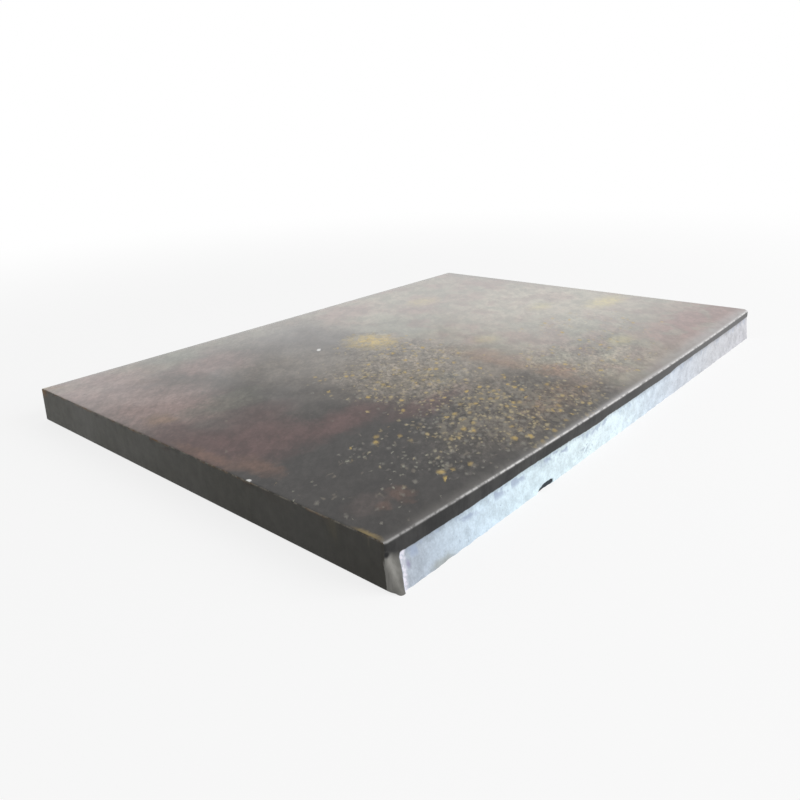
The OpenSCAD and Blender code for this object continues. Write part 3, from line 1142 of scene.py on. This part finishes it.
def makeSky():
    world = bpy.data.worlds.new("studioSky")
    bpy.context.scene.world = world
    world.use_nodes = True
    tree = world.node_tree
    tree.nodes.clear()
    power = mixValue(tree, seenDirectly(tree), studio["skyLight"], 1.0)
    sky = addNode(tree, "ShaderNodeBackground", vals={"Color": (1, 1, 1, 1)},
                  links={"Strength": power})
    addNode(tree, "ShaderNodeOutputWorld", links={"Surface": sky.outputs["Background"]})


def makeFloor():
    floorMesh = bpy.data.meshes.new("studioFloor")
    bm = bmesh.new()
    bmesh.ops.create_grid(bm, x_segments=1, y_segments=1, size=studio["floorSize"])
    bm.to_mesh(floorMesh)
    bm.free()
    floor = bpy.data.objects.new("studioFloor", floorMesh)
    bpy.context.scene.collection.objects.link(floor)
    mat = bpy.data.materials.new("paleFloor")
    mat.use_nodes = True
    tree = mat.node_tree
    tree.nodes.clear()
    matte = addNode(tree, "ShaderNodeBsdfDiffuse", vals={"Color": (*studio["floorColour"], 1)})
    glow = addNode(tree, "ShaderNodeEmission", vals={"Color": (1, 1, 1, 1), "Strength": 1.0})
    away = lengthOf(tree, addNode(tree, "ShaderNodeTexCoord").outputs["Object"])
    fade = ramp(tree, away, studio["fadeFrom"], studio["fadeTo"], studio["floorNear"], 1.0)
    both = addNode(tree, "ShaderNodeMixShader", links={
        0: times(tree, seenDirectly(tree), fade),
        1: matte.outputs["BSDF"], 2: glow.outputs["Emission"]})
    addNode(tree, "ShaderNodeOutputMaterial", links={"Surface": both.outputs["Shader"]})
    floorMesh.materials.append(mat)


def makeLamp():
    data = bpy.data.lights.new("softLamp", "AREA")
    data.energy = studio["lampPower"]
    data.size = studio["lampSize"]
    lamp = bpy.data.objects.new("softLamp", data)
    bpy.context.scene.collection.objects.link(lamp)
    lamp.location = studio["lampAt"]
    lamp.visible_glossy = False    # no glare of the lamp on the oily film
    aim = Vector(studio["lampAim"]) - lamp.location
    lamp.rotation_euler = aim.to_track_quat("-Z", "Y").to_euler()


# camera where the photograph was taken from; focal and frame are in pixels
view = {
    "at": (-0.2700, -0.2204, 0.1216),
    "towards": (0.6913, 0.6265, -0.3600),
    "tilt": -2.58,
    "focal": 721.4,
    "sensor": 36.0,
    "frame": 800,
    "clip": 0.01,
}


def makeCamera():
    data = bpy.data.cameras.new("photoCamera")
    data.sensor_fit = "HORIZONTAL"
    data.sensor_width = view["sensor"]
    data.lens = view["sensor"] * view["focal"] / view["frame"]
    data.clip_start = view["clip"]
    camera = bpy.data.objects.new("photoCamera", data)
    bpy.context.scene.collection.objects.link(camera)
    ahead = Vector(view["towards"]).normalized()
    flat = ahead.cross(Vector((0, 0, 1))).normalized()
    upright = flat.cross(ahead)
    a = math.radians(view["tilt"])
    right = flat * math.cos(a) + upright * math.sin(a)
    up = upright * math.cos(a) - flat * math.sin(a)
    turn = Matrix((right, up, -ahead)).transposed()
    camera.matrix_world = Matrix.Translation(Vector(view["at"])) @ turn.to_4x4()
    bpy.context.scene.camera = camera


makeSky()
makeFloor()
makeLamp()
makeCamera()
bpy.context.scene.view_settings.view_transform = "Standard"
print("studio and camera ready")
